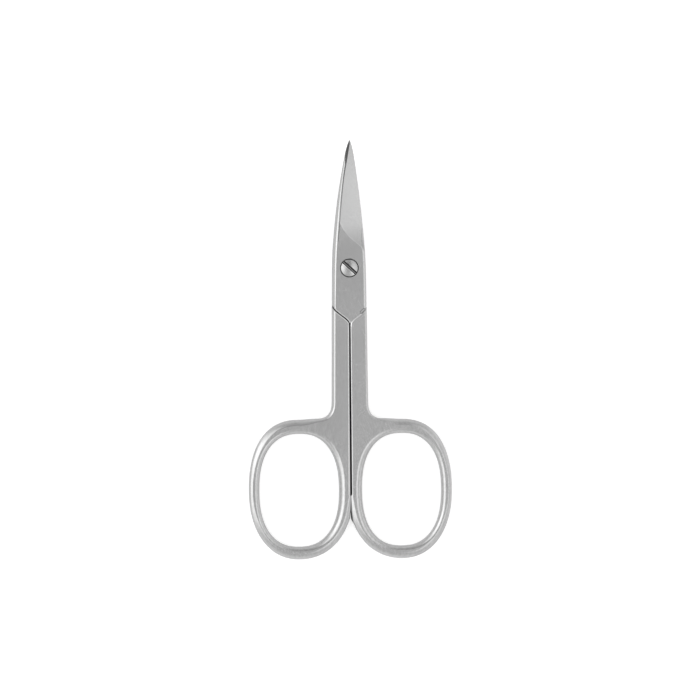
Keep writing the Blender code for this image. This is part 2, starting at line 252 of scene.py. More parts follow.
def wall_levels(outline, round_edges):
    below = list(edge_levels(*round_edges(outline, SHANK_ROUND_BELOW)))
    above = list(edge_levels(*round_edges(outline, SHANK_ROUND_ABOVE)))
    return below + [(inward, SHOULDER_HEIGHT - height) for inward, height in reversed(above)]


def parting_draft(x, fade_from=PARTING_GAP_BACK / 2, fade_over=PARTING_GAP_BACK):
    """How far the wall at the parting line leans in at its foot."""
    return np.maximum(x - PARTING_FOOT, 0) * (1 - smoothstep((x - fade_from) / fade_over))


def handle_thinning(y):
    share = (y + SHOULDER_AT_SIDE) / (SHOULDER_AT_SIDE - TAIL_REACH)
    return 1 - (1 - RING_HEIGHT / SHOULDER_HEIGHT) * share


print(len(wall_levels(handle_outline(), handle_rounding)), "layers")

# %% [markdown]
# ## A skin over the layers
# Neighbouring layers have the same number of points, so quads join them without any searching. The flat top
# and bottom have a hole in them, and a triangle fill between the two outlines closes each one. Extruding a
# filled curve would be quicker to write, but it has no room for roundings that change along the edge.

# %% Skin the layers
def skin(bm, loops):
    rings = [[bm.verts.new(point) for point in loop] for loop in loops]
    for lower, upper in zip(rings, rings[1:]):
        for i in range(len(lower)):
            bm.faces.new((lower[i - 1], lower[i], upper[i], upper[i - 1]))
    return rings


def mesh_from(name, bm):
    bmesh.ops.recalc_face_normals(bm, faces=bm.faces)
    mesh = bpy.data.meshes.new(name)
    bm.to_mesh(mesh)
    bm.free()
    return mesh


def handle_mesh(side):
    """A whole handle: side is 1 for the front half, and -1 turns it over for the rear half."""
    bm = bmesh.new()
    ends = []
    for outline, round_edges in ((handle_outline(), handle_rounding), (hole_outline(), hole_rounding)):
        draft = parting_draft(outline[:, 0])
        loops = []
        for inward, height in wall_levels(outline, round_edges):
            x, y = inset(outline, inward).T
            z = MIDDLE_HEIGHT + side * (np.broadcast_to(height, len(x)) - MIDDLE_HEIGHT)
            x = x - draft * (1 - z / SHOULDER_HEIGHT)
            loops.append(np.column_stack([side * x, y, z * handle_thinning(y)]))
        rings = skin(bm, loops)
        ends.append((rings[0], rings[-1]))
    for face_rings in zip(*ends):
        edges = [bm.edges.get((ring[i - 1], ring[i])) for ring in face_rings for i in range(len(ring))]
        bmesh.ops.triangle_fill(bm, use_beauty=True, edges=edges)
    return mesh_from("handle", bm)


print("handle faces:", len(handle_mesh(1).polygons))

# %% [markdown]
# ## The blade
# A nail scissor blade is ground, not forged: flat and level round the screw, then sloping from its back to
# its edge. The slope starts at a curved line across the blade, where the grinding wheel was lifted. The
# inner face is ground slightly hollow so that the blades touch at their edges alone. Both blades bend up,
# by an amount that depends on the distance from the screw, so they stay in line while they turn. The two
# tables give the half width and the rounding of the back as shares of the box, at shares of the way to the
# tip.

# %% Blade sizes
BLADE_WIDTHS = [
    (-0.475, 1.0),
    (-0.18, 0.99),
    (0.09, 0.952),
    (0.344, 0.825),
    (0.53, 0.672),
    (0.72, 0.473),
    (0.848, 0.317),
    (0.929, 0.196),
    (0.973, 0.1),
    (1.0, 0.024),
]
BACK_ROUNDS = [
    (-0.475, 0.16),
    (0.09, 0.225),
    (0.36, 0.24),
    (0.54, 0.188),
    (0.72, 0.134),
    (0.92, 0.09),
    (1.0, 0.015),
]
EDGE_THICKNESS = 0.1 * MM
INNER_HOLLOW = 0.12 * MM
GROUND_STEP = 0.15 * MM
SIDE_STEP = 0.035 * MM
CURVE_START = 5.0 * MM
CURVE_RADIUS = 60.0 * MM
GRIND_SLOPE = 0.256
GRIND_RUNOUT = 11.2 * MM
GRIND_SOFTNESS = 0.07 * MM
WHEEL_RADIUS = 20.0 * MM
EDGE_ROUND = 0.65 * MM
EDGE_FLATNESS = 0.3
LAP_GAP = 0.1 * MM
HEEL_GAP = 0.28 * MM
FACE_HEIGHT = SHOULDER_HEIGHT - GROUND_STEP
LAP_THICKNESS = MIDDLE_HEIGHT - LAP_GAP / 2 - GROUND_STEP
BOX_HALF_WIDTH = SHANK_FRONT_WIDTH - SIDE_STEP
SHOULDER_SPAN = SHANK_FRONT_WIDTH - PARTING_GAP / 2
SHOULDER_RISE = SHOULDER_AT_MIDDLE - SHOULDER_AT_SIDE
print(f"each blade is {LAP_THICKNESS / MM:.2f} mm thick at the screw")

# %% [markdown]
# ## Smooth curves through a few points
# Straight lines between the table's rows would show as facets on polished steel. A cubic through each pair
# of rows, with slopes taken from their neighbours, runs smoothly through all of them.

# %% Curves through the table
def smooth_through(points, x):
    xs, ys = np.array(points, float).T
    slopes = np.gradient(ys, xs)
    i = int(np.clip(np.searchsorted(xs, x) - 1, 0, len(xs) - 2))
    step = xs[i + 1] - xs[i]
    t = np.clip((x - xs[i]) / step, 0, 1)
    start = ys[i] * (1 + 2 * t) * (1 - t) ** 2 + slopes[i] * step * t * (1 - t) ** 2
    return start + ys[i + 1] * t * t * (3 - 2 * t) - slopes[i + 1] * step * t * t * (1 - t)


def curve_rise(x, y):
    beyond = np.maximum(np.hypot(x, y) - CURVE_START, 0) * (y > 0)
    return beyond**2 / (2 * CURVE_RADIUS)


print(f"the tip is lifted by {curve_rise(0, TIP_REACH) / MM:.1f} mm")

# %% [markdown]
# ## The faces of a section
# Cut across, a blade shows its outer face, level at first and then sloping to the edge. The two meet in a
# very small curve, as they do after polishing. A narrow strip beside the back gets a row of points of its
# own, because a dark line runs there on the real blade.

# %% Grinding and finishes
SATIN, GROUND, INSIDE, SPINE_PAINTED_REFLECTION = range(4)
STRIP_AT_BOX, STRIP_AT_BLADE, STRIP_AT_POINT = 0.16, 0.04, 0.08  # mm, each added to the one before
SPINE_FROM = 6 * MM
GROUND_FROM = 9 * MM
DARK_FROM = 22 * MM
DARK_OVER = 4 * MM


def ground_height(x, line):
    """Height of the outer face above the inner one: level up to the line and sloping after it."""
    if abs(x - line) < GRIND_SOFTNESS:
        return LAP_THICKNESS - GRIND_SLOPE * (x - line + GRIND_SOFTNESS) ** 2 / (4 * GRIND_SOFTNESS)
    return min(LAP_THICKNESS - GRIND_SLOPE * (x - line), LAP_THICKNESS)


def strip_width(y):
    blade = smoothstep((y - 9 * MM) / (6 * MM))
    point = smoothstep((y - 18 * MM) / (8 * MM))
    return (STRIP_AT_BOX + STRIP_AT_BLADE * blade + STRIP_AT_POINT * point) * MM


def section_finish(y, back, slope, outside, total, all_level):
    """The finish before each point: the back's points come first, then the outer face's and the inside's."""
    finish = [SATIN] * slope + [GROUND] * (outside - slope) + [INSIDE] * (total - outside)
    finish[0] = finish[outside] = SATIN
    # The strip beside the back, and towards the tip the back's own rounding, take the painted dark
    # reflection.
    if y > SPINE_FROM:
        finish[back] = SPINE_PAINTED_REFLECTION
    if y > GROUND_FROM:
        finish[back + 1 : slope] = [GROUND] * (slope - back - 1)
        dark = round((back - 1) * smoothstep((y - DARK_FROM) / DARK_OVER))
        finish[back - dark : back] = [SPINE_PAINTED_REFLECTION] * dark
    if all_level:
        finish[slope:outside] = [SATIN] * (outside - slope)
    return finish


print(f"the strip beside the back is {strip_width(0) / MM:.2f} to {strip_width(TIP_REACH) / MM:.2f} mm wide")

# %% [markdown]
# ## One section of the blade
# Each section is a closed list of points: round the back, over the level face and the slope, round the edge
# and back along the hollow inside. All sections have the same number of points, so the grinding line is one
# row of vertices along the blade and stays crisp.

# %% One section of the blade
STRIP_SHARE = 0.6
LINE_MARGIN = 0.02
BACK_FOOT = 0.3


def blade_section(y):
    """Points (x, height above the inner face) round a section, and the finish before each one."""
    share = y / TIP_REACH
    half_width = BOX_HALF_WIDTH * smooth_through(BLADE_WIDTHS, share)
    back_round = BOX_HALF_WIDTH * smooth_through(BACK_ROUNDS, share)
    runout = max(GRIND_RUNOUT - y, 0) ** 2 / (2 * WHEEL_RADIUS)
    edge = min(EDGE_THICKNESS + runout, LAP_THICKNESS)
    edge_round = min(EDGE_ROUND, edge, half_width / 2)
    line = half_width - (LAP_THICKNESS - EDGE_THICKNESS - runout) / GRIND_SLOPE

    back = back_round - half_width
    front = half_width - edge_round
    strip = back + min(strip_width(y), STRIP_SHARE * (front - back))
    margin = LINE_MARGIN * half_width
    plunge = np.clip(line, strip + margin, front - margin)
    soft = min(GRIND_SOFTNESS, (plunge - strip) / 2, (front - plunge) / 2)

    top = ground_height(back, line)
    low = BACK_FOOT * top
    rising = [(back - back_round * math.cos(a), low + (top - low) * math.sin(a)) for a in quarter_turn()]
    level = [(x, ground_height(x, line)) for x in np.linspace(strip, plunge - soft, 4)[:-1]]
    bend = [(x, ground_height(x, line)) for x in plunge + soft * np.linspace(-1, 1, 5)]
    slope = [(x, ground_height(x, line)) for x in np.linspace(plunge + soft, front, 9)[1:]]
    falling = []
    for angle in quarter_turn()[1:]:
        fall = EDGE_FLATNESS * (1 - math.cos(angle))
        falling.append((front + edge_round * math.sin(angle), edge - edge_round * fall))
    hollow = INNER_HOLLOW * smoothstep((y - CURVE_START) / CURVE_START) * half_width / BOX_HALF_WIDTH
    inside = [(half_width * part, hollow * (1 - part * part)) for part in np.linspace(1, -1, 11)]

    outer = rising + level + bend + slope + falling
    on_slope = len(rising + level) + len(bend) // 2
    counts = len(rising), on_slope, len(outer), len(outer + inside)
    return np.array(outer + inside), section_finish(y, *counts, line > front - margin)


print(len(blade_section(0)[0]), "points in a section")

# %% [markdown]
# ## Loft the blade
# The sections are skinned from the heel to the tip. They lie close together at the point, where the outline
# turns fastest, and wide apart in the box, which is nearly straight. Each face takes the finish of its own
# strip.

# %% Loft the blade
BOX_END = 0.07
BLADE_FROM, BLADE_TO = 0.085, 0.8
POINT_SECTIONS = [0.82, 0.84, 0.86, 0.88, 0.9, 0.92, 0.935, 0.95, 0.96, 0.97, 0.98, 0.99, 1]


def blade_mesh(side):
    box = np.linspace(-SHOULDER_AT_MIDDLE - HEEL_GAP, BOX_END * TIP_REACH, 20)
    blade = np.linspace(BLADE_FROM, BLADE_TO, 52) * TIP_REACH
    point = np.array(POINT_SECTIONS) * TIP_REACH
    loops, finishes = [], []
    for y in np.concatenate([box, blade, point]):
        points, finish = blade_section(y)
        x, height = points.T
        z = MIDDLE_HEIGHT + side * (LAP_GAP / 2 + height) + curve_rise(x, y)
        loops.append(np.column_stack([side * x, np.full(len(x), y), z]))
        finishes.append(finish)
    bm = bmesh.new()
    rings = skin(bm, loops)
    for face, finish in zip(bm.faces, np.concatenate(finishes[1:])):
        face.material_index = int(finish)
    bm.faces.new(rings[0])
    bm.faces.new(rings[-1])
    return mesh_from("blade", bm)


print("blade faces:", len(blade_mesh(1).polygons))

# %% [markdown]
# ## Cutting one piece with another
# A smith files and drills. The Boolean modifier does both here, with its exact solver, because the cuts
# leave edges that have to stay clean at high gloss. Each cut is settled into the mesh at once, so that
# nothing is left to recalculate when the scissors open.

# %% Work on objects
parts = bpy.data.collections.new("nail_scissors_looks")
bpy.context.scene.collection.children.link(parts)


def add_object(name, mesh):
    piece = bpy.data.objects.new(name, mesh)
    parts.objects.link(piece)
    return piece


def settle(piece):
    graph = bpy.context.evaluated_depsgraph_get()
    mesh = bpy.data.meshes.new_from_object(piece.evaluated_get(graph), depsgraph=graph)
    piece.modifiers.clear()
    piece.data = mesh


def cut(piece, tool, operation="DIFFERENCE", folded=False):
    modifier = piece.modifiers.new(operation, "BOOLEAN")
    modifier.operation = operation
    modifier.object = tool
    modifier.solver = "EXACT"
    modifier.use_self = folded
    settle(piece)
    bpy.data.objects.remove(tool)


print("pieces go into", parts.name)

# %% [markdown]
# ## Shoulder and heel
# Where the halves cross, each is cut to half its height. The shank ends in an S-shaped shoulder, and the
# other half's heel follows it with a thin gap. Each cutter opens out near the faces, which leaves the
# narrow chamfer that a hand stone leaves on the real edge and that catches the light. A Bevel modifier
# after the cut would also reach edges that are sharp on the real scissors.

# %% Cutters
EDGE_BREAK = 0.18 * MM
BREAK_DEPTH = 0.11 * MM
BREAK_MARGIN = 0.01 * MM
SHOULDER_RUN = [(0, 0), (0.014, 0.146), (0.09, 0.267), (0.265, 0.413), (0.56, 0.607), (0.873, 0.833), (1, 1)]
SHOULDER_POINTS = 42


def prism(name, outline, grow, low, high, thinning=np.ones_like, draft=0):
    """A cutter with this outline that opens out by the edge break near both faces."""
    bm = bmesh.new()
    out = grow * EDGE_BREAK * (1 + BREAK_MARGIN / BREAK_DEPTH)
    levels = [(low - BREAK_MARGIN, out), (low + BREAK_DEPTH, 0)]
    levels += [(high - BREAK_DEPTH, 0), (high + BREAK_MARGIN, out)]
    loops = []
    for z, distance in levels:
        x, y = inset(np.array(outline, float), distance).T
        x = x - draft * (1 - z / SHOULDER_HEIGHT)
        loops.append(np.column_stack([x, y, z * thinning(y)]))
    rings = skin(bm, loops)
    bm.faces.new(rings[0])
    bm.faces.new(rings[-1])
    return add_object(name, mesh_from(name, bm))


def shoulder_line(side):
    """The shoulder from the parting line to beyond the shank's side."""
    numbers = range(len(SHOULDER_RUN))
    along = np.linspace(0, len(SHOULDER_RUN) - 1, SHOULDER_POINTS)
    runs = [list(zip(numbers, values)) for values in zip(*SHOULDER_RUN)]
    across, forward = [np.array([smooth_through(run, t) for t in along]) for run in runs]
    x = side * (PARTING_GAP / 2 + SHOULDER_SPAN * across)
    line = np.column_stack([x, SHOULDER_RISE * forward - SHOULDER_AT_MIDDLE])
    past_side = line[-1] + OVERRUN * (line[-1] - line[-2]) / np.linalg.norm(line[-1] - line[-2])
    return np.vstack([line, past_side])


print(len(shoulder_line(1)), "points along the shoulder")

# %% [markdown]
# ## Make a half
# One function makes both halves, because the rear one is the front one turned over. The handle is cut ahead
# of its shoulder, the blade is cut to its heel, and the two are joined. Round the inner corner the shoulder
# keeps the parting line's lean, which closes the view to the floor.

# %% Make a half
CORNER_DRAFT = 0.26 * MM, 0.24 * MM
HEEL_FIRST_POINT = 7


def half(name, side):
    whole = add_object(name, handle_mesh(side))
    shoulder = shoulder_line(side)
    beyond_middle = -side * OVERRUN
    ahead = [(shoulder[-1][0], OVERRUN), (beyond_middle, OVERRUN), (beyond_middle, shoulder[0][1])]
    corner = np.array([*shoulder, *ahead])
    draft = side * parting_draft(side * corner[:, 0], *CORNER_DRAFT)
    cut(whole, prism(f"{name} shoulder", corner, -side, 0, SHOULDER_HEIGHT, handle_thinning, draft))

    blade = add_object(f"{name} blade", blade_mesh(side))
    square_to_heel = np.array([side * SHOULDER_RISE, SHOULDER_SPAN])
    heel = shoulder_line(-side)[HEEL_FIRST_POINT:]
    heel = heel + HEEL_GAP * square_to_heel / np.linalg.norm(square_to_heel)
    under_shank = side * (PARTING_GAP + PARTING_ROUND)
    behind = -SHOULDER_AT_MIDDLE - OVERRUN
    around = [(heel[-1][0], behind), (under_shank, behind), (under_shank, heel[0][1])]
    cut(blade, prism(f"{name} heel", [*heel, *around], -side, GROUND_STEP, FACE_HEIGHT), folded=True)
    cut(whole, blade, "UNION")
    return whole


front = half("front_half_forging", 1)
rear = half("rear_half_forging", -1)
print("faces:", len(front.data.polygons), len(rear.data.polygons))

# %% [markdown]
# ## Turned shapes
# A lathe makes everything that is round about the screw's axis: the screw, its seat and its hole. The Screw
# modifier sweeps a profile round an axis in the same way. A cylinder for each step would need as many
# Booleans.

# %% Turned shapes
HEAD_RADIUS = 1.9 * MM
HEAD_HEIGHT = 0.68 * MM
HEAD_DOME = 0.28 * MM
SHAFT_RADIUS = 1.18 * MM
SCREW_CHAMFER = 0.12 * MM
SEAT_HEIGHT = FACE_HEIGHT - HEAD_HEIGHT


def turned(name, profile, steps=128):
    """A solid of revolution about the screw's axis, from its profile of (radius, height)."""
    mesh = bpy.data.meshes.new(name)
    mesh.from_pydata([(x, 0, z) for x, z in profile], [(i, i + 1) for i in range(len(profile) - 1)], [])
    piece = add_object(name, mesh)
    turn = piece.modifiers.new("turn", "SCREW")
    turn.steps = turn.render_steps = steps
    turn.use_merge_vertices = True
    turn.merge_threshold = 0.001 * MM
    settle(piece)
    bm = bmesh.new()
    bm.from_mesh(piece.data)
    bmesh.ops.recalc_face_normals(bm, faces=bm.faces)
    bm.to_mesh(piece.data)
    bm.free()
    return piece


print(f"the head's seat is at {SEAT_HEIGHT / MM:.2f} mm")

# %% [markdown]
# ## Drill the holes
# The front half turns on the screw's shaft and has a round seat for the head. The rear half has a plain
# hole in place of the thread, which nobody sees. Both mouths are opened by a small chamfer, as a
# countersink does.

# %% Drill the holes
HEAD_CLEARANCE = 0.11 * MM
RUNNING_CLEARANCE = 0.05 * MM
THREAD_CLEARANCE = 0.02 * MM
SEAT_CLEARANCE = 0.03 * MM
SEAT_RIM = 0.05 * MM

low, high = -OVERRUN, SHOULDER_HEIGHT + OVERRUN
seat = HEAD_RADIUS + HEAD_CLEARANCE
bore = SHAFT_RADIUS + RUNNING_CLEARANCE
seat_profile = [
    (0, low),
    (bore, low),
    (bore, SEAT_HEIGHT - SEAT_CLEARANCE),
    (seat, SEAT_HEIGHT - SEAT_CLEARANCE),
    (seat, FACE_HEIGHT - SEAT_RIM),
    (seat + 3 * SEAT_RIM, FACE_HEIGHT + 2 * SEAT_RIM),
    (0, FACE_HEIGHT + 2 * SEAT_RIM),
]
cut(front, turned("seat cutter", seat_profile))
thread = SHAFT_RADIUS + THREAD_CLEARANCE
thread_profile = [
    (0, GROUND_STEP - 2 * SEAT_RIM),
    (thread + 3 * SEAT_RIM, GROUND_STEP - 2 * SEAT_RIM),
    (thread, GROUND_STEP + SEAT_RIM),
    (thread, high),
    (0, high),
]
cut(rear, turned("thread cutter", thread_profile))
print("faces:", len(front.data.polygons), len(rear.data.polygons))

# %% [markdown]
# ## A nick at the step
# The real front half has a small nick where the step meets the edge. It could be painted as a dark spot,
# but a real dent catches the light on one side only. A shallow cutter with round ends and sloping sides
# makes it.

# %% Nick the step
NICK_START = 2.5 * MM, -9.52 * MM
NICK_END = 3.16 * MM, -8.86 * MM
NICK_DEPTH = 0.15 * MM
NICK_HALF_WIDTH = 0.17 * MM
NICK_FLARE = 0.9


def nick_cutter(steps=9):
    start, end = np.array(NICK_START), np.array(NICK_END)
    turn = math.atan2(*(end - start)[::-1])
    loops = []
    for rise in (0, 3 * NICK_DEPTH):
        half_width = NICK_HALF_WIDTH + NICK_FLARE * rise
        height = FACE_HEIGHT - NICK_DEPTH + rise
        loop = []
        for middle, first in ((end, turn - math.pi / 2), (start, turn + math.pi / 2)):
            for angle in np.linspace(first, first + math.pi, steps):
                x, y = middle + half_width * np.array((math.cos(angle), math.sin(angle)))
                loop.append((x, y, height))
        loops.append(loop)
    bm = bmesh.new()
    rings = skin(bm, loops)
    bm.faces.new(rings[0])
    bm.faces.new(rings[-1])
    return add_object("nick cutter", mesh_from("nick cutter", bm))


cut(front, nick_cutter())
print("faces with the nick:", len(front.data.polygons))

# %% [markdown]
# ## The screw
# The screw is turned on a lathe and slotted with a saw: a low domed head with a broken rim, and a shaft
# that ends flush underneath. The slot is cut last, as on the real one, and lies a little off the middle.

# %% Turn and slot the screw
SLOT_WIDTH = 0.72 * MM
SLOT_OFF_MIDDLE = 0.1 * MM
SLOT_DEPTH = 0.5 * MM
SLOT_ANGLE = math.radians(-42.5)
DOME_POINTS = 16
RIM_HEIGHT = SEAT_HEIGHT + HEAD_HEIGHT

dome_radius = (HEAD_RADIUS**2 + HEAD_DOME**2) / (2 * HEAD_DOME)
profile = [
    (0, GROUND_STEP),
    (SHAFT_RADIUS - SCREW_CHAMFER, GROUND_STEP),
    (SHAFT_RADIUS, GROUND_STEP + SCREW_CHAMFER),
    (SHAFT_RADIUS, SEAT_HEIGHT),
    (HEAD_RADIUS, SEAT_HEIGHT),
    (HEAD_RADIUS, RIM_HEIGHT - SCREW_CHAMFER),
]
for x in np.linspace(HEAD_RADIUS - SCREW_CHAMFER, 0, DOME_POINTS):
    profile.append((x, RIM_HEIGHT + HEAD_DOME - dome_radius + math.sqrt(dome_radius**2 - x * x)))
screw = turned("pivot_screw_turned", profile)

bm = bmesh.new()
bmesh.ops.create_cube(bm, size=1)
bmesh.ops.scale(bm, verts=bm.verts, vec=(4 * HEAD_RADIUS, SLOT_WIDTH, 2 * (SLOT_DEPTH + HEAD_DOME)))
saw = add_object("saw", mesh_from("saw", bm))
saw_x, saw_y = -SLOT_OFF_MIDDLE * math.sin(SLOT_ANGLE), SLOT_OFF_MIDDLE * math.cos(SLOT_ANGLE)
saw.location = (saw_x, saw_y, RIM_HEIGHT + HEAD_DOME)
saw.rotation_euler.z = SLOT_ANGLE
bpy.context.view_layer.update()
cut(screw, saw)
print("screw faces:", len(screw.data.polygons))

# %% [markdown]
# ## Put the pieces on the moving bodies
# Every piece was made round the screw's axis, so its mesh is moved along +Y to where the CAD model has the
# screw. The front half rides on the body that turns, and the screw stays in the rear half. Shading is
# smooth except across real edges, and weighted normals keep the flat faces flat.

# %% Smooth, place and ride
SHARP = math.radians(28)


def finish_piece(piece, body, node):
    mesh = piece.data
    mesh.transform(Matrix.Translation((0, SCREW_Y, 0)))
    mesh.polygons.foreach_set("use_smooth", [True] * len(mesh.polygons))
    mesh.set_sharp_from_angle(angle=SHARP)
    weighted = piece.modifiers.new("flat stays flat", "WEIGHTED_NORMAL")
    weighted.keep_sharp = True
    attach(piece, body)
    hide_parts(node)
    print(piece.name, "rides on", body, "and stands for", node)


finish_piece(front, "front", "front_half")
finish_piece(rear, "rear", "rear_half")
finish_piece(screw, "rear", "pivot_screw")

# %% [markdown]
# ## Shader sums
# A finish is a few masks added up. Dragged together by hand, the nodes for them are hard to read. Written
# as Python sums they stay readable, so one small class wraps a socket and turns + - * / into Math nodes.

# %% Sockets as numbers
class Value:
    """A socket that carries a number, so that sums of masks can be written as sums."""

    def __init__(self, recipe, socket):
        self.recipe = recipe
        self.socket = socket

    def math(self, operation, *others):
        return self.recipe.node("ShaderNodeMath", {"operation": operation}, self, *others)

    def rising(self, low, high):
        """0 below low, 1 above high and smooth between them."""
        settings = {"interpolation_type": "SMOOTHSTEP"}
        return self.recipe.node("ShaderNodeMapRange", settings, self, low, high)

    def __add__(self, other):
        return self.math("ADD", other)

    def __sub__(self, other):
        return self.math("SUBTRACT", other)

    def __rsub__(self, other):
        return self.recipe.node("ShaderNodeMath", {"operation": "SUBTRACT"}, other, self)

    def __mul__(self, other):
        return self.math("MULTIPLY", other)

    def __truediv__(self, other):
        return self.math("DIVIDE", other)

    def __rtruediv__(self, other):
        return self.recipe.node("ShaderNodeMath", {"operation": "DIVIDE"}, other, self)

    __radd__ = __add__
    __rmul__ = __mul__


def window(value, start, full, fade, end):
    """1 between full and fade, 0 outside start and end."""
    return value.rising(start, full) - value.rising(fade, end)


def grey(level):
    return level, level, level, 1


print("a socket can be used with + - * /")

# %% [markdown]
# ## Any other node
# The remaining nodes come from one method: the node's type, its settings, and the values or links of its
# sockets in order or by name. Colours are mixed by a Mix node, because a Math node would turn them grey.

# %% Recipes of nodes
class Recipe:
    """The node tree of a material or of the world."""

    def __init__(self, owner):
        owner.use_nodes = True
        self.nodes = owner.node_tree.nodes
        self.links = owner.node_tree.links

    def put(self, socket, value):
        if isinstance(value, Value):
            self.links.new(value.socket, socket)
        else:
            socket.default_value = value

    def node(self, kind, settings, *inputs, output=0, **named):
        made = self.nodes.new(kind)
        for name, setting in settings.items():
            setattr(made, name, setting)
        for number, value in enumerate(inputs):
            self.put(made.inputs[number], value)
        for name, value in named.items():
            self.put(made.inputs[name], value)
        return Value(self, made.outputs[output])

    def vector(self, operation, *inputs, output=0):
        return self.node("ShaderNodeVectorMath", {"operation": operation}, *inputs, output=output)

    def blend(self, factor, first, second):
        mixed = self.nodes.new("ShaderNodeMix")
        mixed.data_type = "RGBA"
        for number, value in ((0, factor), (6, first), (7, second)):
            self.put(mixed.inputs[number], value)
        return Value(self, mixed.outputs[2])


print("recipes ready for a material or the world")

# %% [markdown]
# ## What all the steels share
# Every finish is bare metal that differs in grain, cloudiness and a few scratches. An image texture would
# need unwrapping and would repeat. Noise in the object's own coordinates follows the steel from every side
# and stays on it when the scissors open, so one class holds the measures and the noises.

# %% Steel recipes
SCRATCH_EDGE = 0.04
SCRATCH_SLICE = 3 * MM
SCRATCH_SHIFT = 0.37


class Steel(Recipe):
    """A recipe for one steel surface, with the measures that its masks are made of."""

    def __init__(self, name):
        self.material = bpy.data.materials.new(name)
        super().__init__(self.material)
        self.shader = self.nodes["Principled BSDF"]
        self.shader.inputs["Metallic"].default_value = 1.0
        place = self.node("ShaderNodeTexCoord", {}, output="Object")
        split = self.nodes.new("ShaderNodeSeparateXYZ")
        self.links.new(place.socket, split.inputs[0])
        self.x, self.y, self.z = [Value(self, socket) for socket in split.outputs]

    def noise(self, x, y, z, detail=2.0):
        spot = self.node("ShaderNodeCombineXYZ", {}, x, y, z)
        return self.node("ShaderNodeTexNoise", {}, Vector=spot, Scale=1.0, Detail=detail, Roughness=0.5)

    def mix(self, factor, first, second):
        return first + (second - first) * factor

    def scratches(self, angle, thin, long, amount):
        """Sparse straight scratches at this angle."""
        c, s = math.cos(angle), math.sin(angle)
        across, along = self.x * c + self.y * s, self.y * c - self.x * s
        slices = self.z / SCRATCH_SLICE + SCRATCH_SHIFT
        lines = self.noise(across / (thin * MM), along / (long * MM), slices, detail=1.0)
        return lines.rising(amount, amount + SCRATCH_EDGE)

    def finish(self, colour, roughness, height):
        self.put(self.shader.inputs["Base Color"], colour)
        self.put(self.shader.inputs["Roughness"], roughness)
        bump = self.node("ShaderNodeBump", {}, Strength=1.0, Distance=1.0, Height=height)
        self.put(self.shader.inputs["Normal"], bump)
        print(self.material.name, "is made of", len(self.nodes), "nodes")
        return self.material


print("steel recipes ready")

# %% [markdown]
# ## Where the satin steel changes
# The handles were brushed along the shanks and round the rings, and the rings were tumbled until they
# shone. The walls inside the gaps get a rougher steel and a darker colour, which is painted shade, and the
# edges beside the step get a lighter colour, which is a painted highlight. Separate pieces of mesh could
# carry these, but masks made from positions give soft borders without any extra edges.

# %% Masks on the handle
ON_RING = 1.27, 1.42
TUMBLED = 1.12, 1.32
PARTING_WALLS = 0.35 * MM, 0.45 * MM
STEP_WALLS = 3.3 * MM, 3.5 * MM
HIGHLIGHT_EDGES = 3.1 * MM, 3.3 * MM
WALL_TILT = 0.72, 0.78
HIGHLIGHT_TILT = 0.8, 0.84, 0.89, 0.93
STEP_LENGTH = 4.2 * MM, 4.4 * MM
SHADED_SEAT_RADII = 2.1 * MM, 2.15 * MM
SHADED_SEAT_HEIGHTS = 1.7 * MM, 1.75 * MM, 2.98 * MM, 3.0 * MM


def ring_measure(steel):
    """1 at the finger hole's edge and growing outwards, and the angle round the ring."""
    out = steel.x.math("ABSOLUTE") - RING_OUT
    back = steel.y - (SCREW_Y - RING_BACK)
    across = (out / HOLE_HALF_WIDTH).math("ABSOLUTE").math("POWER", HOLE_SQUARENESS)
    along = (back / HOLE_HALF_LENGTH).math("ABSOLUTE").math("POWER", HOLE_SQUARENESS)
    angle = back.math("ARCTAN2", out).math("ABSOLUTE")
    return (across + along).math("POWER", 1 / HOLE_SQUARENESS), angle


def gap_masks(steel, upright):
    """The walls in the gaps, for rough steel and painted shade, and the edges beside the step, for a painted
    highlight.
    """
    off_middle = steel.x.math("ABSOLUTE")
    step = SCREW_Y - SHOULDER_AT_MIDDLE
    behind_blade = 1 - steel.y.rising(*(step + length for length in STEP_LENGTH))
    parting = 1 - off_middle.rising(*PARTING_WALLS)
    shoulder = (1 - off_middle.rising(*STEP_WALLS)) * steel.y.rising(step, step + 0.1 * MM)
    gap_rough_and_shaded = parting.math("MAXIMUM", shoulder) * (1 - upright.rising(*WALL_TILT)) * behind_blade
    near_step = steel.y.rising(step - 0.1 * MM, step) * behind_blade
    # The edges beside the step, which get a painted highlight.
    painted_edge_highlight = window(upright, *HIGHLIGHT_TILT) * near_step * (1 - off_middle.rising(*HIGHLIGHT_EDGES))
    return gap_rough_and_shaded, painted_edge_highlight


# The screw's seat round the head, where the satin steel is darkened almost to black as painted shade.
def seat_painted_shade(steel):
    y = steel.y - SCREW_Y
    radius = (steel.x * steel.x + y * y).math("SQRT")
    return (1 - radius.rising(*SHADED_SEAT_RADII)) * window(steel.z, *SHADED_SEAT_HEIGHTS)


print("the ring's finish fades between", TUMBLED, "and its grain between", ON_RING)

# %% [markdown]
# ## Satin steel
# Satin is a fine grain, a little cloudy, with a few scratches. The grain is noise that is drawn out along
# the brushing and drives a very low bump. Colour and roughness drift with the clouds, because satin steel
# reads through its reflections more than through its colour. The colour also carries painted shade on the
# walls in the gaps and in the screw's seat, and a painted highlight on the edges beside the step.

# %% Satin steel
SATIN_GRAIN = 0.07 * MM
SATIN_STROKE = 2.5 * MM
SATIN_HEIGHT = 0.0006 * MM


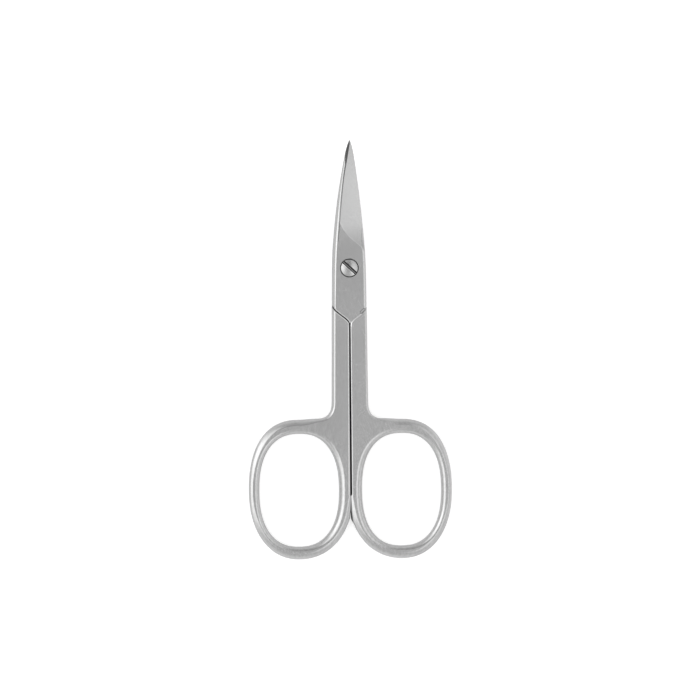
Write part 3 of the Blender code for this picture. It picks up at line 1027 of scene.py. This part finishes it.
def satin_steel():
    steel = Steel("satin_steel")
    measure, angle = ring_measure(steel)
    on_ring = 1 - measure.rising(*ON_RING)
    tumbled = 1 - measure.rising(*TUMBLED)
    across = steel.mix(on_ring, steel.x, measure * HOLE_HALF_WIDTH) + steel.z
    along = steel.mix(on_ring, steel.y, angle * HOLE_HALF_LENGTH)
    grain = steel.noise(across / SATIN_GRAIN, along / SATIN_STROKE, 0.0, detail=3.0)
    mottle = steel.noise(steel.x / (0.45 * MM), steel.y / (0.9 * MM), steel.z / (0.45 * MM))
    smudge = steel.noise(steel.x / (7 * MM), steel.y / (7 * MM), steel.z / (7 * MM), detail=1.0)
    lines = steel.scratches(0.5, 0.05, 5, 0.7).math("MAXIMUM", steel.scratches(-0.9, 0.05, 4, 0.71))

    normal = steel.node("ShaderNodeTexCoord", {}, output="Normal")
    upright = steel.vector("DOT_PRODUCT", normal, (0, 0, 1), output="Value").math("ABSOLUTE")
    flat = upright.rising(0.93, 0.995)
    gap_rough_and_shaded, painted_edge_highlight = gap_masks(steel, upright)

    roughness = 0.2 + 0.05 * flat + 0.03 * (mottle - 0.5) + 0.04 * (smudge - 0.5) + 0.02 * lines
    roughness = steel.mix(gap_rough_and_shaded, roughness, 0.7)
    cloudy = steel.mix(0.4 * tumbled, 0.7 * mottle + 0.3 * smudge, mottle.rising(0.3, 0.7))
    colour = steel.blend(cloudy, grey(0.52), grey(0.62))
    # The edges beside the step are lightened to grey 0.7: a painted highlight.
    colour = steel.blend(painted_edge_highlight, colour, grey(0.7))
    # The walls in the gaps are darkened to grey 0.3: painted shade.
    colour = steel.blend(gap_rough_and_shaded, colour, grey(0.3))
    # The seat round the screw's head is darkened almost to black: painted shade.
    colour = steel.blend(0.8 * seat_painted_shade(steel), colour, grey(0.05))
    height = SATIN_HEIGHT * (1 + 0.4 * tumbled) * (grain + 0.15 * mottle - 0.12 * lines)
    return steel.finish(colour, roughness, height)


finishes = [satin_steel()]

# %% [markdown]
# ## Ground steel
# The grinding wheel leaves its marks across the blade, in slight arcs. The arcs are made by adding a little
# of the square of the distance from the middle before the noise is read, which bends its straight lines.

# %% Ground steel
ARC_RADIUS = 30 * MM
GROUND_GRAIN = 0.06 * MM
GROUND_STROKE = 1.5 * MM
GROUND_HEIGHT = 0.0008 * MM


def ground_steel():
    steel = Steel("ground_steel")
    arc = steel.y + steel.x * steel.x / ARC_RADIUS
    grain = steel.noise(arc / GROUND_GRAIN, steel.x / GROUND_STROKE, 0.0, detail=3.0)
    mottle = steel.noise(steel.x / (0.6 * MM), steel.y / (0.5 * MM), steel.z / MM)
    lines = steel.scratches(0.3, 0.05, 6, 0.7)
    roughness = 0.2 + 0.08 * (mottle - 0.5) + 0.06 * lines
    colour = steel.blend(mottle, grey(0.55), grey(0.61))
    height = GROUND_HEIGHT * (grain + 0.5 * mottle - 0.2 * lines)
    return steel.finish(colour, roughness, height)


finishes.append(ground_steel())

# %% [markdown]
# ## Steel on the inner faces
# The faces that slide on each other are ground along the blade and a little duller. In the corner under the
# shoulder the steel is rougher, and its colour is darkened as painted shade.

# %% Inner steel
INNER_GRAIN = 0.08 * MM
INNER_HEIGHT = 0.001 * MM
ROUGH_SHADED_CORNER = -8.2 * MM, -7.2 * MM


def inner_steel():
    steel = Steel("inner_steel")
    grain = steel.noise(steel.y / INNER_GRAIN, steel.x / (3 * MM), 0.0, detail=3.0)
    mottle = steel.noise(steel.x / (1.5 * MM), steel.y / (1.5 * MM), steel.z / MM)
    corner_rough_and_shaded = 1 - (steel.y - SCREW_Y).rising(*ROUGH_SHADED_CORNER)
    roughness = steel.mix(corner_rough_and_shaded, 0.26 + 0.12 * (mottle - 0.5), 0.7)
    colour = steel.blend(mottle, grey(0.5), grey(0.56))
    # The corner under the shoulder is darkened to grey 0.25: painted shade.
    colour = steel.blend(corner_rough_and_shaded, colour, grey(0.25))
    return steel.finish(colour, roughness, INNER_HEIGHT * grain)


finishes.append(inner_steel())

# %% [markdown]
# ## The dark strip along the back
# Between the rounded back and the ground face runs a thin strip that looks dark, and darker towards the
# tip. The darkness is a reflection of the dark studio, painted into the steel's colour. It is a row of faces
# of its own, with a darker steel, because a reflection alone would vanish from other sides.

# %% Spine steel
SPINE_FADE = 9 * MM, 26 * MM
SPINE_HEIGHT = 0.0008 * MM


def spine_painted_reflection():
    steel = Steel("spine_painted_reflection")
    grain = steel.noise(steel.x / (0.06 * MM), steel.y / (2 * MM), steel.z / MM)
    towards_tip = steel.y.rising(*(SCREW_Y + distance for distance in SPINE_FADE))
    # The colour darkens from grey 0.24 to 0.1 towards the tip: a painted dark reflection.
    colour = steel.blend(towards_tip, grey(0.24), grey(0.1))
    return steel.finish(colour, 0.25 + 0.1 * grain, SPINE_HEIGHT * grain)


finishes.append(spine_painted_reflection())

# %% [markdown]
# ## Steel of the screw
# The head shows the rings of the lathe and a coarser speckle than the blades. The slot is rougher inside,
# and its colour is darkened as painted shade, almost to black towards its walls. One side of the slot has a
# lighter line along its edge, which is a painted highlight. All of it is placed by the distance from the
# slot's middle line, so it turns with the slot if the angle is changed.

# %% Screw steel
HALF_SLOT = 0.5 * SLOT_WIDTH
LIP_HIGHLIGHT = HALF_SLOT, HALF_SLOT + 0.01 * MM, HALF_SLOT + 0.08 * MM, HALF_SLOT + 0.14 * MM
SLOT_WALL = HALF_SLOT - 0.02 * MM, HALF_SLOT
SLOT_MOUTH = RIM_HEIGHT - 0.2 * MM, RIM_HEIGHT - 0.1 * MM
SLOT_SHADE_DEEPENS = 0.06 * MM, 0.12 * MM
SCREW_HEIGHT = 0.0015 * MM


def screw_steel():
    steel = Steel("screw_steel")
    y = steel.y - SCREW_Y
    radius = (steel.x * steel.x + y * y).math("SQRT")
    rings = steel.noise(radius / (0.05 * MM), 0.0, 0.0, detail=3.0)
    speckle = steel.noise(steel.x / (0.16 * MM), steel.y / (0.16 * MM), steel.z / MM, detail=3.0)
    lines = steel.scratches(0.9, 0.06, 2, 0.66).math("MAXIMUM", steel.scratches(-0.6, 0.05, 2, 0.68))
    off_slot = y * math.cos(SLOT_ANGLE) - steel.x * math.sin(SLOT_ANGLE) - SLOT_OFF_MIDDLE
    # A lighter line along one edge of the slot: a painted highlight.
    lip_highlight = window(off_slot * -1, *LIP_HIGHLIGHT)
    off_slot = off_slot.math("ABSOLUTE")
    in_slot = (1 - off_slot.rising(*SLOT_WALL)) * (1 - steel.z.rising(*SLOT_MOUTH))
    roughness = 0.24 + 0.12 * (speckle - 0.5) + 0.08 * lines + 0.12 * in_slot
    bright = steel.blend(lip_highlight, steel.blend(speckle, grey(0.43), grey(0.64)), grey(0.75))
    # Inside the slot the colour is painted shade: grey 0.3 along the middle and almost black towards the
    # walls.
    slot_painted_shade = steel.blend(off_slot.rising(*SLOT_SHADE_DEEPENS), grey(0.3), grey(0.04))
    height = SCREW_HEIGHT * (rings + 0.8 * speckle - 0.3 * lines)
    return steel.finish(steel.blend(in_slot, bright, slot_painted_shade), roughness, height)


screw.data.materials.append(screw_steel())

# %% [markdown]
# ## Give the halves their finishes
# The loft and the Booleans kept a finish number on every face. The materials go into the slots in the same
# order as those numbers, so nothing has to be picked by hand.

# %% Finishes on the halves
for piece in (front, rear):
    for material in finishes:
        piece.data.materials.append(material)
    print(piece.name, "has", [slot.name for slot in piece.material_slots])

# %% [markdown]
# ## A sheet of white paper
# The scissors lie on white paper. Lamps bright enough to turn it white would burn out the steel. So the
# paper gives a little light of its own to the camera and to mirror rays alone, and it keeps the soft
# shadow.

# %% Floor
PAPER_GREY = 0.7
PAPER_SEEN = 0.6
PAPER_MIRRORED = 0.2

bpy.ops.mesh.primitive_plane_add(size=3, location=(0, 0, -0.05 * MM))
floor = bpy.context.object
floor.name = "floor"
paper = bpy.data.materials.new("white_paper")
recipe = Recipe(paper)
surface = recipe.nodes["Principled BSDF"]
surface.inputs["Base Color"].default_value = grey(PAPER_GREY)
surface.inputs["Roughness"].default_value = 0.9
surface.inputs["Emission Color"].default_value = grey(1)
seen = recipe.node("ShaderNodeLightPath", {}, output="Is Camera Ray")
mirrored = recipe.node("ShaderNodeLightPath", {}, output="Is Glossy Ray")
mirrored = mirrored.math("MAXIMUM", recipe.node("ShaderNodeLightPath", {}, output="Is Transmission Ray"))
recipe.put(surface.inputs["Emission Strength"], seen * PAPER_SEEN + mirrored * PAPER_MIRRORED)
floor.data.materials.append(paper)
print("the paper lies at", round(floor.location.z / MM, 2), "mm")

# %% [markdown]
# ## A soft studio all round
# Steel shows what stands round it: light tents, white panels and the dark gaps between them. Several lamps
# would give hard spots, so the panels are painted into the world as soft windows of direction. The camera
# sees plain white instead, and only the steel sees the panels.

# %% World
world = bpy.data.worlds.new("studio")
bpy.context.scene.world = world
recipe = Recipe(world)
direction = recipe.node("ShaderNodeTexCoord", {}, output="Generated")
rightward = recipe.vector("DOT_PRODUCT", direction, (1, 0, 0), output="Value")
ahead = recipe.vector("DOT_PRODUCT", direction, (0, 1, 0), output="Value")
upward = recipe.vector("DOT_PRODUCT", direction, (0, 0, 1), output="Value")

left_panel = window(rightward * -1, 0.08, 0.3, 0.7, 0.9) * window(ahead, -0.5, -0.1, 0.3, 0.75)
right_panel = window(rightward, 0.15, 0.26, 0.58, 0.74) + 1.1 * window(rightward, 0.15, 0.24, 0.36, 0.5)
right_panel = right_panel * window(ahead, -0.7, -0.25, 0.1, 0.7)
far_gap = window(ahead, 0.07, 0.18, 0.28, 0.42) * (1 - rightward.math("ABSOLUTE").rising(0.2, 0.6))
horizon = 1 - upward.rising(0.4, 0.85)
right_side = rightward.rising(0.6, 0.8) * ahead.rising(-0.4, -0.1)
near_side = (ahead * -1).rising(0.06, 0.4) * (1 - 0.7 * rightward.rising(0.1, 0.4))
strength = 0.5 + 1.08 * left_panel + 0.46 * right_panel - 0.32 * far_gap
strength = strength + 0.32 * horizon + 0.16 * right_side + 0.14 * near_side
camera_ray = recipe.node("ShaderNodeLightPath", {}, output="Is Camera Ray")
background = recipe.nodes["Background"]
background.inputs["Color"].default_value = grey(1)
recipe.put(background.inputs["Strength"], strength + camera_ray * (1 - strength))
print("the studio is made of", len(recipe.nodes), "nodes")

# %% [markdown]
# ## One lamp
# A single wide softbox on the left gives the faint shadow and the bright left edges. It is far away and
# large, so that its reflection has no visible border. The world does the rest.

# %% Lamp
LAMP_DISTANCE = 0.9
LAMP_SIZE = 0.3, 0.8
LAMP_RADIANCE = 0.3

lamp = bpy.data.lights.new("left softbox", "AREA")
lamp.shape = "RECTANGLE"
lamp.size, lamp.size_y = LAMP_SIZE
lamp.energy = LAMP_RADIANCE * math.pi * LAMP_SIZE[0] * LAMP_SIZE[1]
softbox = bpy.data.objects.new("left softbox", lamp)
bpy.context.scene.collection.objects.link(softbox)
softbox.location = Vector((-0.58, 0.2, 0.8)).normalized() * LAMP_DISTANCE
softbox.rotation_euler = (-softbox.location).to_track_quat("-Z", "Y").to_euler()
print(f"the softbox gives {lamp.energy:.2f} W")

# %% [markdown]
# ## The camera
# The photograph was taken from almost straight above, with the camera a little to the left and turned by
# half a degree. A long lens at a fair distance keeps the handles parallel. The numbers were found by laying
# the render's outline over the photograph's.

# %% Camera
FRAME_WIDTH = 151 * MM
CAMERA_DISTANCE = 0.75
LEAN = math.radians(5)
ROLL = math.radians(0.46)
AIM = 0.12 * MM, 0, 1.6 * MM

lens = bpy.data.cameras.new("camera")
lens.sensor_width = 36
lens.lens = lens.sensor_width * CAMERA_DISTANCE / FRAME_WIDTH
lens.clip_start = 0.01
camera = bpy.data.objects.new("camera", lens)
bpy.context.scene.collection.objects.link(camera)
bpy.context.scene.camera = camera
away = Vector((-math.sin(LEAN), 0, math.cos(LEAN)))
right = Vector((math.sin(ROLL), math.cos(ROLL), 0)).cross(away).normalized()
camera.location = Vector(AIM) + CAMERA_DISTANCE * away
camera.rotation_mode = "QUATERNION"
camera.rotation_quaternion = Matrix((right, away.cross(right), away)).transposed().to_quaternion()
bpy.context.scene.view_settings.view_transform = "Standard"
print(f"the lens is {lens.lens:.0f} mm long")
